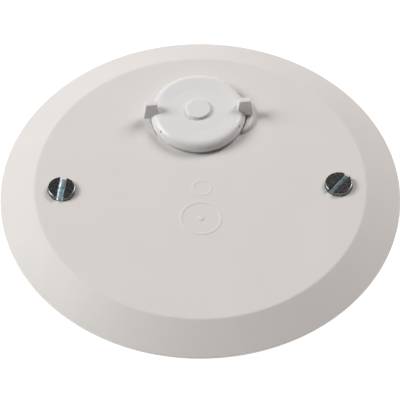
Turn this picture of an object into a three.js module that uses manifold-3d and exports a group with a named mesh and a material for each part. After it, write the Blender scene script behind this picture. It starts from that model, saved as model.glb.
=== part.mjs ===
// Flush-mounted, line-wired optical smoke detector: a round bevelled front cover on a round
// rear housing that sinks into the ceiling. Millimetres, +Z out of the ceiling, +Y towards
// the smoke port, origin at the middle of the housing's back face.
import * as THREE from "three";
import { mergeVertices } from "three/addons/utils/BufferGeometryUtils.js";
import Module from "manifold-3d";

const wasm = await Module();
wasm.setup();

// ---- driving dimensions ----
const HOUSING_RADIUS = 29;
const HOUSING_WALL = 1.8;
const CEILING_Z = 17; // the plane that the rim and the flange rest against
const FLANGE_RADIUS = 36.3;
const FLANGE_THICKNESS = 1.6;
const FLANGE_HOLE_Y = 31.6; // holes for the installer's own screws into the ceiling
const FLANGE_HOLE_RADIUS = 1.8;
const WALL_PAD_HALF_WIDTH = 8; // flat pad in the round wall, for the grommet
const WALL_PAD_INNER_Y = -26.8;
const WALL_PAD_OUTER_Y = -29.6;

const COVER_RADIUS = 43.3;
const COVER_EDGE = 0.6; // upright band at the outermost rim
const COVER_RISE = 4.5; // flat face above the ceiling
const COVER_FLAT_RADIUS = 35.9;
const COVER_WALL = 2;

const SCREW_X = 30; // half the 60 mm spacing of a flush box
const BOSS_RADIUS = 3.9;
const SCREW_HEAD_RADIUS = 3;
const SCREW_SHANK_RADIUS = 1.7; // M3.5
const SCREW_LENGTH = 15.2;
const SCREW_HEAD_PROUD = 1;
const SCREW_HEAD_SUNK = 0.8;
const SLOT_WIDTH = 1.4;
const SLOT_DEPTH = 0.9;
const LEFT_SLOT_DEG = 80;
const RIGHT_SLOT_DEG = 51;
const INSERT_RADIUS = 2.3;
const INSERT_BORE_RADIUS = 1.78;
const INSERT_Z = 6.2;
const INSERT_HEIGHT = 6;
const RETAINER_RADIUS = 2.6;
const RETAINER_HEIGHT = 0.6;

const PORT_Y = 19.6;
const PORT_RADIUS = 6;
const SOCKET_RADIUS = 7.2;
const CAP_RADIUS = 10.35;
const CAP_RISE = 2.5; // cap face above the cover's flat
const CAP_TWIST_DEG = 1.5;
const CAP_BEAD = 0.1; // the rim of the cap's face stands a little above its middle
const CAP_SHOULDER = 1.7; // radius that rounds the rim over into the wall
const CAP_CLEARANCE = 0.25; // slit round the cap, beside the pads
const PAD_X = 8.9; // two oval pads on the cover, under the cap's lugs
const PAD_HALF_WIDTH = 3.6;
const PAD_HALF_LENGTH = 5.1;
const PAD_TOP_SHARE = 0.82;
const LEFT_PAD_RISE = 0.3;
const RIGHT_PAD_RISE = 1.1;
const BUTTON_RADIUS = 2.95; // low round boss in the middle of the cap, with a lot of draft
const BUTTON_TOP_RADIUS = 2.5;
const BUTTON_RISE = 0.8;
const LUG_RISE = 4.95; // lug tops above the cover's flat
const LUG_FOOT = { inner: 8.2, outer: 11.95, front: -1.15, back: 1.15 };
const LUG_TOP = { inner: 8.93, outer: 11.45, front: -0.2, back: 1.07 };

const BOARD_RADIUS = 25.6;
const BOARD_THICKNESS = 1.6;
const STANDOFF_HEIGHT = 1.8;
const BOARD_SCREWS = { left: [-21.5, 3], right: [21.5, 3], front: [0, -10.2] };

const CHAMBER_Y = 9.6;
const CHAMBER_RADIUS = 17;
const CHAMBER_WALL = 1.2;
const CHAMBER_TOP_Z = 14.4;
const VANES = 18;
const OPTICS_ANGLE_DEG = 25; // each optical axis below the chamber's own X axis
const OPTICS_RADIUS = 9.8;

const POLES = 4;
const POLE_PITCH = 5;
const BLOCK_FRONT_Y = -20;
const BLOCK_BACK_Y = -12.6;
const BLOCK_HEIGHT = 9;
const CAGE_TRAVEL = 2;

const GROMMET_Z = 9.5;
const GROMMET_BORE_RADIUS = 3.4;

// How many flats stand for a full circle, by the size of the piece.
const LARGE = 72;
const MEDIUM = 36;
const SMALL = 24;
const TINY = 12;

// ---- levels that follow from them ----
const FLAT_Z = CEILING_Z + COVER_RISE;
const COVER_INNER_Z = FLAT_Z - COVER_WALL;
const FLANGE_TOP_Z = CEILING_Z + FLANGE_THICKNESS;
const BOARD_Z = HOUSING_WALL + STANDOFF_HEIGHT;
const BOARD_TOP_Z = BOARD_Z + BOARD_THICKNESS;
const HEAD_SEAT_Z = FLAT_Z - SCREW_HEAD_SUNK;
const CAP_FACE_Z = FLAT_Z + CAP_RISE;
const OPTICS_Z = BOARD_TOP_Z + 4.5;
const INSERT_TOP_Z = INSERT_Z + INSERT_HEIGHT;
const RETAINER_Z = INSERT_TOP_Z + 0.1;

// ---- solids ----
function solid(geometry) {
  const g = geometry.clone();
  g.deleteAttribute("normal");
  g.deleteAttribute("uv");
  const merged = mergeVertices(g, 1e-4);
  const index = merged.index.array;
  const triangles = [];
  for (let i = 0; i < index.length; i += 3) {
    const [a, b, c] = index.slice(i, i + 3);
    if (a !== b && b !== c && c !== a) triangles.push(a, b, c);
  }
  const build = (triVerts) =>
    new wasm.Manifold(
      new wasm.Mesh({ numProp: 3, vertProperties: merged.attributes.position.array, triVerts }),
    );
  const made = build(new Uint32Array(triangles));
  return made.volume() < 0 ? build(new Uint32Array(triangles.reverse())) : made;
}

// A profile of [radius, z] points turned about the vertical through (x, y).
function turned(profile, segments = SMALL, x = 0, y = 0) {
  const points = profile.map(([r, z]) => new THREE.Vector2(r, z));
  return solid(new THREE.LatheGeometry(points, segments).rotateX(Math.PI / 2).translate(x, y, 0));
}

function disc(radius, z0, z1, x = 0, y = 0, segments = SMALL) {
  return turned([[0, z0], [radius, z0], [radius, z1], [0, z1]], segments, x, y);
}

function ring(outer, inner, z0, z1, x = 0, y = 0, segments = SMALL) {
  const profile = [[inner, z0], [outer, z0], [outer, z1], [inner, z1], [inner, z0]];
  return turned(profile, segments, x, y);
}

function box(x0, x1, y0, y1, z0, z1) {
  const g = new THREE.BoxGeometry(x1 - x0, y1 - y0, z1 - z0);
  return solid(g.translate((x0 + x1) / 2, (y0 + y1) / 2, (z0 + z1) / 2));
}

function rotatedAbout(made, degrees, x, y) {
  return made.translate([-x, -y, 0]).rotate([0, 0, degrees]).translate([x, y, 0]);
}

const join = (...solids) => solids.reduce((a, b) => a.add(b));
const cut = (body, ...tools) => tools.reduce((a, b) => a.subtract(b), body);

// ---- materials ----
const paint = (color, roughness, metalness = 0) =>
  new THREE.MeshStandardMaterial({ color, roughness, metalness });
const coverPlastic = paint(0xd5d0cb, 0.45);
const capPlastic = paint(0xd9d9d6, 0.4);
const housingPlastic = paint(0xe4e2dc, 0.5);
const blackPlastic = paint(0x1d1d1f, 0.55);
const greenPlastic = paint(0x3f7f5a, 0.5);
const zinc = paint(0xaeb6c0, 0.3, 1);
const tin = paint(0xc4c6c8, 0.28, 1);
const brass = paint(0xb8954f, 0.35, 1);
const rubber = paint(0x2a2b2d, 0.85);
const foam = paint(0x55575a, 0.95);
const boardGreen = paint(0x1f5f3c, 0.45);
const blueSleeve = paint(0x27406e, 0.35);
const clearResin = paint(0xc9d4e0, 0.1);

const detector = new THREE.Group();

function piece(name, made, material) {
  const { numProp, numVert, vertProperties, triVerts } = made.getMesh();
  const position = new Float32Array(numVert * 3);
  for (let i = 0; i < numVert; i++) {
    position.set(vertProperties.subarray(i * numProp, i * numProp + 3), i * 3);
  }
  const geometry = new THREE.BufferGeometry();
  geometry.setAttribute("position", new THREE.BufferAttribute(position, 3));
  geometry.setIndex(new THREE.BufferAttribute(triVerts, 1));
  const mesh = new THREE.Mesh(geometry, material);
  mesh.name = name;
  detector.add(mesh);
}

// ---- front cover ----
function frontCover() {
  const slope = COVER_RADIUS - COVER_FLAT_RADIUS;
  const drop = COVER_RISE - COVER_EDGE;
  const bevel = Math.hypot(slope, drop);
  // The inside of the bevel runs parallel to the outside, one wall thickness in.
  const innerRadiusAt = (z) => {
    const r = COVER_RADIUS - (COVER_WALL * drop) / bevel;
    const zOnLine = CEILING_Z + COVER_EDGE - (COVER_WALL * slope) / bevel;
    return r - ((z - zOnLine) * slope) / drop;
  };
  let cover = turned([
    [0, COVER_INNER_Z],
    [innerRadiusAt(COVER_INNER_Z), COVER_INNER_Z],
    [innerRadiusAt(CEILING_Z), CEILING_Z],
    [COVER_RADIUS, CEILING_Z],
    [COVER_RADIUS, CEILING_Z + COVER_EDGE],
    [COVER_FLAT_RADIUS, FLAT_Z],
    [0, FLAT_Z],
  ], LARGE);
  const pad = (x, rise) => turned([
    [0, FLAT_Z - 1],
    [PAD_HALF_WIDTH, FLAT_Z - 1],
    [PAD_HALF_WIDTH, FLAT_Z],
    [PAD_HALF_WIDTH * PAD_TOP_SHARE, FLAT_Z + rise],
    [0, FLAT_Z + rise],
  ]).scale([1, PAD_HALF_LENGTH / PAD_HALF_WIDTH, 1]).translate([x, PORT_Y, 0]);
  const socketEnd = CHAMBER_TOP_Z + 0.8;
  cover = join(
    cover,
    pad(-PAD_X, LEFT_PAD_RISE),
    pad(PAD_X, RIGHT_PAD_RISE),
    disc(SOCKET_RADIUS, socketEnd, FLAT_Z, 0, PORT_Y),
  );
  cover = cut(
    cover,
    disc(CAP_RADIUS + CAP_CLEARANCE, FLAT_Z, FLAT_Z + 9, 0, PORT_Y, MEDIUM),
    disc(PORT_RADIUS, socketEnd - 1, FLAT_Z + 1, 0, PORT_Y),
  );
  for (const x of [-SCREW_X, SCREW_X]) {
    cover = cut(
      cover,
      disc(SCREW_SHANK_RADIUS + 0.3, COVER_INNER_Z - 1, FLAT_Z, x, 0, TINY),
      disc(SCREW_HEAD_RADIUS + 0.15, HEAD_SEAT_Z, FLAT_Z + 1, x, 0),
    );
  }
  piece("front_cover", cover, coverPlastic);
}

// ---- cap that closes the smoke port ----
function portCap() {
  const skirtEnd = FLAT_Z - 4.2;
  const rimZ = CAP_FACE_Z + CAP_BEAD;
  const profile = [[4.4, skirtEnd], [5.6, skirtEnd], [5.6, skirtEnd + 1], [4.9, skirtEnd + 1]];
  profile.push([4.9, skirtEnd + 2.1], [5.6, skirtEnd + 2.1], [5.6, FLAT_Z + 0.1]);
  profile.push([CAP_RADIUS, FLAT_Z + 0.1]);
  for (const degrees of [0, 30, 60, 90]) {
    const a = THREE.MathUtils.degToRad(degrees);
    const r = CAP_RADIUS - CAP_SHOULDER * (1 - Math.cos(a));
    profile.push([r, rimZ - CAP_SHOULDER * (1 - Math.sin(a))]);
  }
  profile.push([CAP_RADIUS - CAP_SHOULDER - 1.2, CAP_FACE_Z], [BUTTON_RADIUS, CAP_FACE_Z]);
  profile.push([BUTTON_TOP_RADIUS, CAP_FACE_Z + BUTTON_RISE]);
  profile.push([0, CAP_FACE_Z + BUTTON_RISE], [0, FLAT_Z + 0.9], [4.4, FLAT_Z + 0.9], [4.4, skirtEnd]);
  let cap = turned(profile, MEDIUM, 0, PORT_Y);
  const overhang = FLAT_Z + RIGHT_PAD_RISE + 0.3;
  for (const side of [-1, 1]) {
    const corners = [];
    for (const [end, z] of [[LUG_FOOT, overhang], [LUG_TOP, FLAT_Z + LUG_RISE]]) {
      for (const x of [end.inner, end.outer]) {
        for (const y of [end.front, end.back]) corners.push([side * x, PORT_Y + y, z]);
      }
    }
    cap = cap.add(wasm.Manifold.hull(corners));
  }
  piece("port_cap", rotatedAbout(cap, CAP_TWIST_DEG, 0, PORT_Y), capPlastic);
  const seal = [[4.95, skirtEnd + 1.1], [5.6, skirtEnd + 1.05], [5.9, skirtEnd + 1.55]];
  seal.push([5.6, skirtEnd + 2.05], [4.95, skirtEnd + 2], [4.95, skirtEnd + 1.1]);
  piece("cap_seal", turned(seal, SMALL, 0, PORT_Y), rubber);
}

// ---- cover screws, held in the cover by retaining washers ----
function coverScrew(side, x, slotDegrees) {
  const headTop = FLAT_Z + SCREW_HEAD_PROUD;
  const tip = HEAD_SEAT_Z - SCREW_LENGTH;
  const screw = turned([
    [0, tip],
    [SCREW_SHANK_RADIUS - 0.6, tip],
    [SCREW_SHANK_RADIUS, tip + 0.6],
    [SCREW_SHANK_RADIUS, HEAD_SEAT_Z],
    [SCREW_HEAD_RADIUS, HEAD_SEAT_Z],
    [SCREW_HEAD_RADIUS, headTop - 0.3],
    [SCREW_HEAD_RADIUS - 0.3, headTop],
    [0, headTop],
  ], SMALL, x, 0);
  const reach = SCREW_HEAD_RADIUS + 1;
  const slot = box(-reach, reach, -SLOT_WIDTH / 2, SLOT_WIDTH / 2, headTop - SLOT_DEPTH, headTop + 1);
  piece(
    side + "_cover_screw",
    cut(screw, slot.rotate([0, 0, slotDegrees]).translate([x, 0, 0])),
    zinc,
  );
  const retainerTop = RETAINER_Z + RETAINER_HEIGHT;
  const retainer = ring(RETAINER_RADIUS, INSERT_BORE_RADIUS, RETAINER_Z, retainerTop, x, 0);
  piece(side + "_screw_retainer", retainer, capPlastic);
  const insert = ring(INSERT_RADIUS, INSERT_BORE_RADIUS, INSERT_Z, INSERT_TOP_Z, x, 0);
  piece(side + "_threaded_insert", insert, brass);
}

// ---- rear housing ----
function rearHousing() {
  const inner = HOUSING_RADIUS - HOUSING_WALL;
  let housing = turned([
    [0, 0],
    [HOUSING_RADIUS, 0],
    [HOUSING_RADIUS, CEILING_Z],
    [FLANGE_RADIUS, CEILING_Z],
    [FLANGE_RADIUS, FLANGE_TOP_Z],
    [0, FLANGE_TOP_Z],
  ], LARGE);
  for (const x of [-SCREW_X, SCREW_X]) housing = housing.add(disc(BOSS_RADIUS, 3, FLANGE_TOP_Z, x, 0));
  const padX = WALL_PAD_HALF_WIDTH;
  const padInner = WALL_PAD_INNER_Y;
  housing = housing.add(box(-padX, padX, WALL_PAD_OUTER_Y, padInner + 0.8, 1.5, CEILING_Z));
  const roundHollow = disc(inner, HOUSING_WALL, FLANGE_TOP_Z + 1, 0, 0, LARGE);
  const hollow = cut(
    roundHollow.add(box(-padX, padX, padInner, -20, HOUSING_WALL, FLANGE_TOP_Z + 1)),
    disc(BOSS_RADIUS, 3, FLANGE_TOP_Z + 2, -SCREW_X, 0),
    disc(BOSS_RADIUS, 3, FLANGE_TOP_Z + 2, SCREW_X, 0),
    box(-padX, padX, WALL_PAD_OUTER_Y, padInner, 0, FLANGE_TOP_Z + 2),
  );
  housing = housing.subtract(hollow);
  for (const x of [-SCREW_X, SCREW_X]) {
    housing = cut(
      housing,
      disc(RETAINER_RADIUS + 0.3, INSERT_TOP_Z, FLANGE_TOP_Z + 1, x, 0),
      disc(INSERT_RADIUS + 0.1, INSERT_Z, INSERT_TOP_Z + 1, x, 0),
      disc(SCREW_SHANK_RADIUS + 0.3, INSERT_Z - 1.6, INSERT_Z + 1, x, 0),
    );
  }
  for (const [x, y] of Object.values(BOARD_SCREWS)) {
    housing = housing.add(disc(2.4, HOUSING_WALL - 0.5, BOARD_Z, x, y, TINY));
    housing = housing.subtract(disc(1.15, 1.2, BOARD_Z + 1, x, y, TINY));
  }
  for (const y of [-FLANGE_HOLE_Y, FLANGE_HOLE_Y]) {
    const hole = disc(FLANGE_HOLE_RADIUS, CEILING_Z - 1, FLANGE_TOP_Z + 1, 0, y, TINY);
    housing = housing.subtract(hole);
  }
  const entry = disc(5.2, 0, 6).rotate([90, 0, 0]).translate([0, -25, GROMMET_Z]);
  piece("rear_housing", housing.subtract(entry), housingPlastic);
  piece("draught_seal", ring(35.2, 33.9, FLANGE_TOP_Z, COVER_INNER_Z, 0, 0, MEDIUM), foam);
}

function cableGrommet() {
  const bore = GROMMET_BORE_RADIUS;
  // Distances along the cable, outwards through the housing's wall pad.
  const profile = [[bore, 0], [5.8, 0.2], [6.4, 0.5], [6.4, 1], [5, 1], [5, 3.95]];
  profile.push([6.4, 3.95], [6.4, 4.4], [5, 5.1], [bore, 5.1], [bore, 0]);
  const grommet = turned(profile).rotate([90, 0, 0]).translate([0, -25.7, GROMMET_Z]);
  piece("cable_grommet", grommet, rubber);
}

// ---- circuit board and what is soldered to it ----
function circuitBoard() {
  const front = BLOCK_FRONT_Y - 0.3;
  const below = box(-BOARD_RADIUS, BOARD_RADIUS, -BOARD_RADIUS - 1, front, 0, 10);
  let board = cut(disc(BOARD_RADIUS, BOARD_Z, BOARD_TOP_Z, 0, 0, MEDIUM), below);
  for (const [x, y] of Object.values(BOARD_SCREWS)) {
    board = board.subtract(disc(1.3, BOARD_Z - 1, BOARD_TOP_Z + 1, x, y, TINY));
  }
  piece("circuit_board", board, boardGreen);
  for (const [name, [x, y]] of Object.entries(BOARD_SCREWS)) {
    const screw = turned([
      [0, BOARD_Z - 2],
      [1.05, BOARD_Z - 1.6],
      [1.05, BOARD_TOP_Z],
      [1.9, BOARD_TOP_Z],
      [1.9, BOARD_TOP_Z + 0.7],
      [1.2, BOARD_TOP_Z + 1.2],
      [0, BOARD_TOP_Z + 1.3],
    ], TINY, x, y);
    const top = BOARD_TOP_Z + 0.7;
    const cross = join(
      box(x - 1.1, x + 1.1, y - 0.25, y + 0.25, top, top + 2),
      box(x - 0.25, x + 0.25, y - 1.1, y + 1.1, top, top + 2),
    );
    piece("board_screw_" + name, screw.subtract(cross), zinc);
  }

  const z = BOARD_TOP_Z;
  const chipLegs = [];
  for (let i = 0; i < 7; i++) {
    const y = -11.8 + i * 1.27;
    chipLegs.push(box(14.4, 20.6, y - 0.2, y + 0.2, z, z + 0.6));
  }
  piece("controller_chip", join(box(15.6, 19.4, -12.6, -3.4, z + 0.2, z + 1.8), ...chipLegs), blackPlastic);
  piece("bridge_rectifier", box(12.7, 17.6, -17.6, -14.2, z, z + 2.6), blackPlastic);
  const can = [[0, z], [3.15, z], [3.15, z + 1.1], [2.9, z + 1.4], [3.15, z + 1.7]];
  can.push([3.15, z + 6.7], [2.8, z + 7], [0, z + 7]);
  piece("smoothing_capacitor", turned(can, SMALL, -17.4, -8.4), blueSleeve);
  const shield = cut(
    box(-22.2, -18.2, 5.6, 12, z, z + 3.6),
    box(-21.9, -18.5, 5.9, 11.7, z - 1, z + 3.3),
  );
  piece("amplifier_screen", shield, tin);
}

// ---- terminal block with rising cages ----
function terminals() {
  const width = POLES * POLE_PITCH + 1.6;
  const top = BOARD_TOP_Z + BLOCK_HEIGHT;
  const pocketFloor = BOARD_TOP_Z + 0.8;
  const cageHeight = 4.4;
  const pocketTop = pocketFloor + cageHeight + CAGE_TRAVEL + 0.2;
  const ledge = pocketTop + 0.3; // the screw's head turns on it
  let block = box(-width / 2, width / 2, BLOCK_FRONT_Y, BLOCK_BACK_Y, BOARD_TOP_Z, top);
  for (let i = 0; i < POLES; i++) {
    const x = (i - (POLES - 1) / 2) * POLE_PITCH;
    const n = i + 1;
    const cageY = BLOCK_FRONT_Y + 3.1;
    block = cut(
      block,
      box(x - 1.95, x + 1.95, BLOCK_FRONT_Y - 1, BLOCK_FRONT_Y + 5.4, pocketFloor, pocketTop),
      box(x - 1, x + 1, BLOCK_FRONT_Y + 5, BLOCK_BACK_Y + 1, pocketFloor + 2.9, pocketFloor + 3.9),
      disc(1.3, pocketTop - 0.2, top, x, cageY, TINY),
      disc(2, ledge, top + 1, x, cageY, TINY),
    );
    // The cage rides up round the wire and pinches it under the fixed tab.
    const cage = cut(
      box(x - 1.7, x + 1.7, cageY - 2, cageY + 2, pocketFloor + 0.1, pocketFloor + 0.1 + cageHeight),
      box(x - 1.15, x + 1.15, BLOCK_FRONT_Y, BLOCK_FRONT_Y + 6, pocketFloor + 0.9, pocketFloor + 3.7),
      disc(1.2, pocketFloor + 3.6, pocketFloor + 6, x, cageY, TINY),
    );
    piece("terminal_cage_" + n, cage, tin);
    const tabZ = pocketFloor + 3.1;
    const tab = join(
      box(x - 0.8, x + 0.8, BLOCK_FRONT_Y + 1.3, BLOCK_BACK_Y + 0.8, tabZ, tabZ + 0.5),
      box(x - 0.8, x + 0.8, BLOCK_BACK_Y + 0.3, BLOCK_BACK_Y + 0.8, BOARD_TOP_Z, tabZ + 0.3),
    );
    piece("terminal_tab_" + n, tab, brass);
    const shankEnd = pocketFloor + 3.9;
    const screw = turned([
      [0, shankEnd],
      [1.05, shankEnd],
      [1.05, ledge + 0.05],
      [1.7, ledge + 0.05],
      [1.7, top - 0.4],
      [0, top - 0.4],
    ], TINY, x, cageY);
    const slot = box(-2, 2, -0.3, 0.3, top - 1.1, top);
    const turnedSlot = slot.rotate([0, 0, 15 + 40 * i]).translate([x, cageY, 0]);
    piece("terminal_screw_" + n, screw.subtract(turnedSlot), zinc);
  }
  piece("terminal_block", block, greenPlastic);
}

// ---- optical chamber ----
function opticalChamber() {
  const inner = CHAMBER_RADIUS - CHAMBER_WALL;
  const ceiling = CHAMBER_TOP_Z - CHAMBER_WALL;
  const floor = BOARD_TOP_Z + 1;
  let lid = turned([
    [inner, BOARD_TOP_Z],
    [CHAMBER_RADIUS, BOARD_TOP_Z],
    [CHAMBER_RADIUS, CHAMBER_TOP_Z],
    [0, CHAMBER_TOP_Z],
    [0, ceiling],
    [inner, ceiling],
    [inner, BOARD_TOP_Z],
  ], MEDIUM, 0, CHAMBER_Y);
  lid = cut(
    lid,
    disc(5, ceiling - 1, CHAMBER_TOP_Z + 1, 0, PORT_Y),
    disc(5.5, CHAMBER_TOP_Z - 0.55, CHAMBER_TOP_Z + 1, 0, PORT_Y),
  );
  piece("chamber_cover", lid, blackPlastic);

  let mesh = disc(5.3, CHAMBER_TOP_Z - 0.5, CHAMBER_TOP_Z - 0.2, 0, PORT_Y);
  const holePitch = 2;
  const hole = 0.7;
  for (let i = -2; i <= 2; i++) {
    for (let j = -2; j <= 2; j++) {
      const x = i * holePitch;
      const y = PORT_Y + j * holePitch;
      if (Math.hypot(i, j) > 2.3) continue;
      mesh = mesh.subtract(box(x - hole, x + hole, y - hole, y + hole, 0, 30));
    }
  }
  piece("insect_mesh", mesh, tin);
  piece("port_gasket", ring(7, 5.4, CHAMBER_TOP_Z, CHAMBER_TOP_Z + 0.8, 0, PORT_Y), foam);

  let base = disc(inner - 0.4, BOARD_TOP_Z, floor, 0, CHAMBER_Y, MEDIUM);
  for (let i = 0; i < VANES; i++) {
    const vane = box(11.9, 15.1, -0.4, 0.4, floor - 0.5, ceiling - 0.6);
    const turnedVane = vane.translate([-13.5, 0, 0]).rotate([0, 0, 38]).translate([13.5, 0, 0]);
    const degrees = (360 / VANES) * (i + 0.5);
    base = base.add(turnedVane.rotate([0, 0, degrees]).translate([0, CHAMBER_Y, 0]));
  }
  // Each optical part lies in a cradle that looks at the middle of the chamber.
  const cradles = { left: 180 + OPTICS_ANGLE_DEG, right: -OPTICS_ANGLE_DEG };
  for (const degrees of Object.values(cradles)) {
    const place = (made) => made.rotate([0, 0, degrees]).translate([0, CHAMBER_Y, 0]);
    base = base.subtract(place(box(7, 15.2, -2.6, 2.6, floor, ceiling)));
    base = base.add(place(box(7.2, 13, -2.4, 2.4, floor - 0.5, OPTICS_Z + 1)));
    const bore = disc(1.85, 0, 20, 0, 0, TINY).rotate([0, 90, 0]).translate([0, 0, OPTICS_Z]);
    base = base.subtract(place(bore.add(box(0, 20, -1.85, 1.85, OPTICS_Z, OPTICS_Z + 5))));
  }
  // A wedge between the two keeps the emitter's direct light off the photodiode.
  const wedge = box(-0.5, 0.5, CHAMBER_Y - 11, CHAMBER_Y - 5, floor - 0.5, OPTICS_Z + 2);
  piece("chamber_base", base.add(wedge), blackPlastic);

  const lamp = [[0, 0], [1.2, 0.4], [1.5, 1.2], [1.5, 4.4], [1.75, 4.4], [1.75, 5.2], [0, 5.2]];
  for (const [name, degrees] of [["ir_emitter", cradles.left], ["photodiode", cradles.right]]) {
    const made = turned(lamp, TINY).rotate([0, 90, 0]).translate([OPTICS_RADIUS - 2.4, 0, OPTICS_Z]);
    piece(
      name,
      made.rotate([0, 0, degrees]).translate([0, CHAMBER_Y, 0]),
      name === "photodiode" ? blackPlastic : clearResin,
    );
  }
}

rearHousing();
cableGrommet();
circuitBoard();
terminals();
opticalChamber();
frontCover();
portCap();
coverScrew("left", -SCREW_X, LEFT_SLOT_DEG);
coverScrew("right", SCREW_X, RIGHT_SLOT_DEG);

export default detector;
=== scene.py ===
# A slim flush-mounted smoke detector, dressed for its photograph: a bevelled cover with two
# slotted screws and a blanking cap, over a housing that holds the board and optical chamber.
import math
import random

import bmesh
import bpy
from mathutils import Matrix, Vector


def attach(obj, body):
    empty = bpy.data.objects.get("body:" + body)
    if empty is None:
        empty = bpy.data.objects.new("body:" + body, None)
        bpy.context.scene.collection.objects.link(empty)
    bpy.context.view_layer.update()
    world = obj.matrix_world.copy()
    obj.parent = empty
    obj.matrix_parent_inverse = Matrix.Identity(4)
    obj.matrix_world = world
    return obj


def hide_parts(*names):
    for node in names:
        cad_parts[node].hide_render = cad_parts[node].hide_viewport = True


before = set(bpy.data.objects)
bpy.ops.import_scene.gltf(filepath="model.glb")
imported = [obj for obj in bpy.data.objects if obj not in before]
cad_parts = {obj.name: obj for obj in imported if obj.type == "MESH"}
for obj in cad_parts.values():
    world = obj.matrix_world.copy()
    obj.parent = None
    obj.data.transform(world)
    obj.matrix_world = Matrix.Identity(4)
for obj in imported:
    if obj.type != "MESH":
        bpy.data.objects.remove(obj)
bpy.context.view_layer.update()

scene = bpy.context.scene
MM = 0.001

# ---- driving dimensions in millimetres: the CAD's, with finer values on the cap and pads ----
CEILING_Z = 17
FLAT_Z = 21.5
COVER_RADIUS = 43.3
COVER_EDGE = 0.6
COVER_FLAT_RADIUS = 35.9
COVER_INNER_Z = 19.5
COVER_WALL = 2
SCREW_X = 30
SCREW_HEAD_RADIUS = 3
SCREW_SHANK_RADIUS = 1.7
SCREW_HEAD_TOP = 22.5
SCREW_HEAD_SEAT = 20.7
SCREW_TIP = 5.5
SCREW_PITCH = 0.6
SLOT_WIDTH = 1.4
SLOT_DEPTH = 0.9
PORT_Y = 19.6
PORT_RADIUS = 6
SOCKET_RADIUS = 7.2
SOCKET_END = 15.2
CAP_RADIUS = 10.35
CAP_FACE_Z = 24
CAP_TWIST = math.radians(1.5)
CAP_BEAD = 0.2
CAP_SHOULDER_WIDTH = 1.8  # the rim rounds over into the wall on a quarter ellipse
CAP_SHOULDER_DROP = 1.75
PAD_X = 8.9
SLIT_SHIFT = 0.08  # the slit beside the pads is wider on the right
PAD_HALF_WIDTH = 3.6
PAD_HALF_LENGTH = 5.1
PAD_RISE = {-1: 0.22, 1: 1.1}  # the left one is lower
SHOULDER_STEPS = 14
BUTTON_RADIUS = 2.85
BUTTON_TOP_RADIUS = 2.45
BUTTON_RISE = 0.65
NICK_RADIUS = 10.02  # two small dents in the cap's shoulder
NICK_Z = 23.55
LUG_FOOT = {"x": (8.2, 11.95), "y": (-1.15, 1.15), "z": 22.9}
LUG_TOP = {"x": (8.93, 11.45), "y": (-0.2, 1.07), "z": 26.45}

HOUSING_RADIUS = 29
HOUSING_WALL = 1.8
FLANGE_RADIUS = 36.3
FLANGE_TOP_Z = 18.6
FLANGE_HOLE_Y = 31.6
FLANGE_HOLE_RADIUS = 1.8
BOSS_RADIUS = 3.9
INSERT_RADIUS = 2.3
INSERT_Z = 6.2
INSERT_TOP_Z = 12.2
RETAINER_RADIUS = 2.6
RETAINER_Z = 12.3
RETAINER_HEIGHT = 0.6
KNURL_TEETH = 28
SEAL_OUTER_RADIUS = 35.2
SEAL_INNER_RADIUS = 33.9
GASKET_OUTER_RADIUS = 7
GASKET_INNER_RADIUS = 5.4
GASKET_HEIGHT = 0.8
WALL_PAD_HALF_WIDTH = 8
WALL_PAD_INNER_Y = -26.8
WALL_PAD_OUTER_Y = -29.6
GROMMET_Z = 9.5
GROMMET_BORE_RADIUS = 3.4
BOARD_RADIUS = 25.6
BOARD_Z = 3.6
BOARD_TOP_Z = 5.2
BOARD_SCREWS = {"left": (-21.5, 3), "right": (21.5, 3), "front": (0, -10.2)}
CHIP_X = 17.5
CHIP_Y = -8
CHIP_LEGS_Y = [-11.8 + i * 1.27 for i in range(7)]
CAPACITOR_X = -17.4
CAPACITOR_Y = -8.4
CAPACITOR_RADIUS = 3.15
CAPACITOR_HEIGHT = 7
POLES = 4
POLE_PITCH = 5
BLOCK_FRONT_Y = -20
BLOCK_BACK_Y = -12.6
BLOCK_HEIGHT = 9
CAGE_HEIGHT = 4.4
CAGE_TRAVEL = 2
CHAMBER_Y = 9.6
CHAMBER_RADIUS = 17
CHAMBER_TOP_Z = 14.4
OPTICS_RADIUS = 9.8
OPTICS_Z = 9.7
# Copper routes and through-plated holes on the board, (x, y).
TRACKS = [
    [(-7.5, -12), (-7.5, -9), (-14, -9)],
    [(-2.5, -12), (-2.5, -8.6), (-5, -7.6), (-21, -7.6)],
    [(7.5, -12), (7.5, -10.6), (14, -10.6)],
    [(2.5, -12), (4, -9.4), (14, -9.4)],
    [(20.6, -9.3), (23, -9.3), (24, -7), (24, 0), (20, 6)],
    [(20.6, -8), (22.2, -8), (22.8, -6), (22.8, -1), (18.6, 5)],
    [(-20, 5.4), (-23.6, 1), (-23.6, -3), (-20.6, -5.4)],
    [(-18, 12.2), (-19.5, 16), (-15, 19.6)],
    [(15, -14), (15, -12.4)],
    [(17.5, -18.4), (13, -19.4), (-13, -19.4)],
]
VIAS = [(-14, -9), (-21, -7.6), (7.5, -10.6), (20, 6), (18.6, 5), (-15, 19.6), (-20.6, -5.4),
        (11.4, -17.8), (-12.6, -16.4), (23.4, 6.6), (-23.6, 6.8)]

# ---- the photograph's camera ----
CAMERA_ELEVATION = math.radians(51.6)
CAMERA_TURN = math.radians(1.3)  # the cover stands a little anticlockwise of square
CAMERA_DISTANCE = 2.598
CAMERA_LENS = 1079.6
CAMERA_AIM = (-0.06, 0.16)  # mm right and up of the rim's centre
LIGHT_DISTANCE = 1.0


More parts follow.
